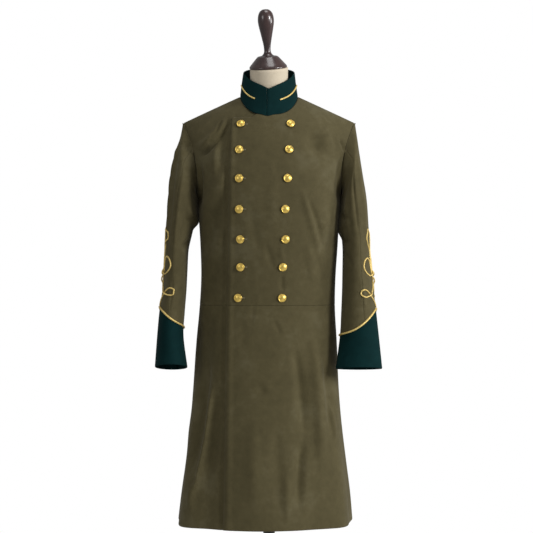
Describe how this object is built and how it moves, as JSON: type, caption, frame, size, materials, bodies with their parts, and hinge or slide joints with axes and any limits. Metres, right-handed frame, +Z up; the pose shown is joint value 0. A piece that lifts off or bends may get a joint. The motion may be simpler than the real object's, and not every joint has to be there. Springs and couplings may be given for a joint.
{
  "type": "frock coat on dress form",
  "caption": "Double-breasted wool frock coat with stand collar, pointed cuffs and looped gold braid, worn by a dress form on a stand.",
  "frame": {"origin": "centre of the stand base's underside, on the floor", "axes": "+Z up, the coat faces -Y, +X is the wearer's left"},
  "size_m": [0.6163, 0.4144, 1.6995],
  "materials": {
    "olive_cloth": "fulled wool, short matt nap",
    "green_facing": "dark green fulled wool, matt",
    "gold_braid": "braided metallic thread cord",
    "brass": "polished, slightly dulled",
    "cream_cover": "plain cotton cover",
    "dark_wood": "turned, stained dark and varnished",
    "black_iron": "black satin paint"
  },
  "bodies": {
    "root": {"front_left": "olive_cloth", "back_left": "olive_cloth", "skirt_left": "olive_cloth", "top_sleeve_left": "olive_cloth", "under_sleeve_left": "olive_cloth", "cuff_left": "green_facing", "cuff_braid_left": "gold_braid", "sleeve_knot_left": "gold_braid", "button_left_1": "brass", "button_left_2": "brass", "button_left_3": "brass", "button_left_4": "brass", "button_left_5": "brass", "button_left_6": "brass", "button_left_7": "brass", "front_right": "olive_cloth", "back_right": "olive_cloth", "skirt_right": "olive_cloth", "top_sleeve_right": "olive_cloth", "under_sleeve_right": "olive_cloth", "cuff_right": "green_facing", "cuff_braid_right": "gold_braid", "sleeve_knot_right": "gold_braid", "button_right_1": "brass", "button_right_2": "brass", "button_right_3": "brass", "button_right_4": "brass", "button_right_5": "brass", "button_right_6": "brass", "button_right_7": "brass", "collar": "green_facing", "collar_braid": "gold_braid", "form_torso": "cream_cover", "form_cap": "dark_wood", "stand_pole": "black_iron", "stand_base": "black_iron"}
  },
  "joints": []
}
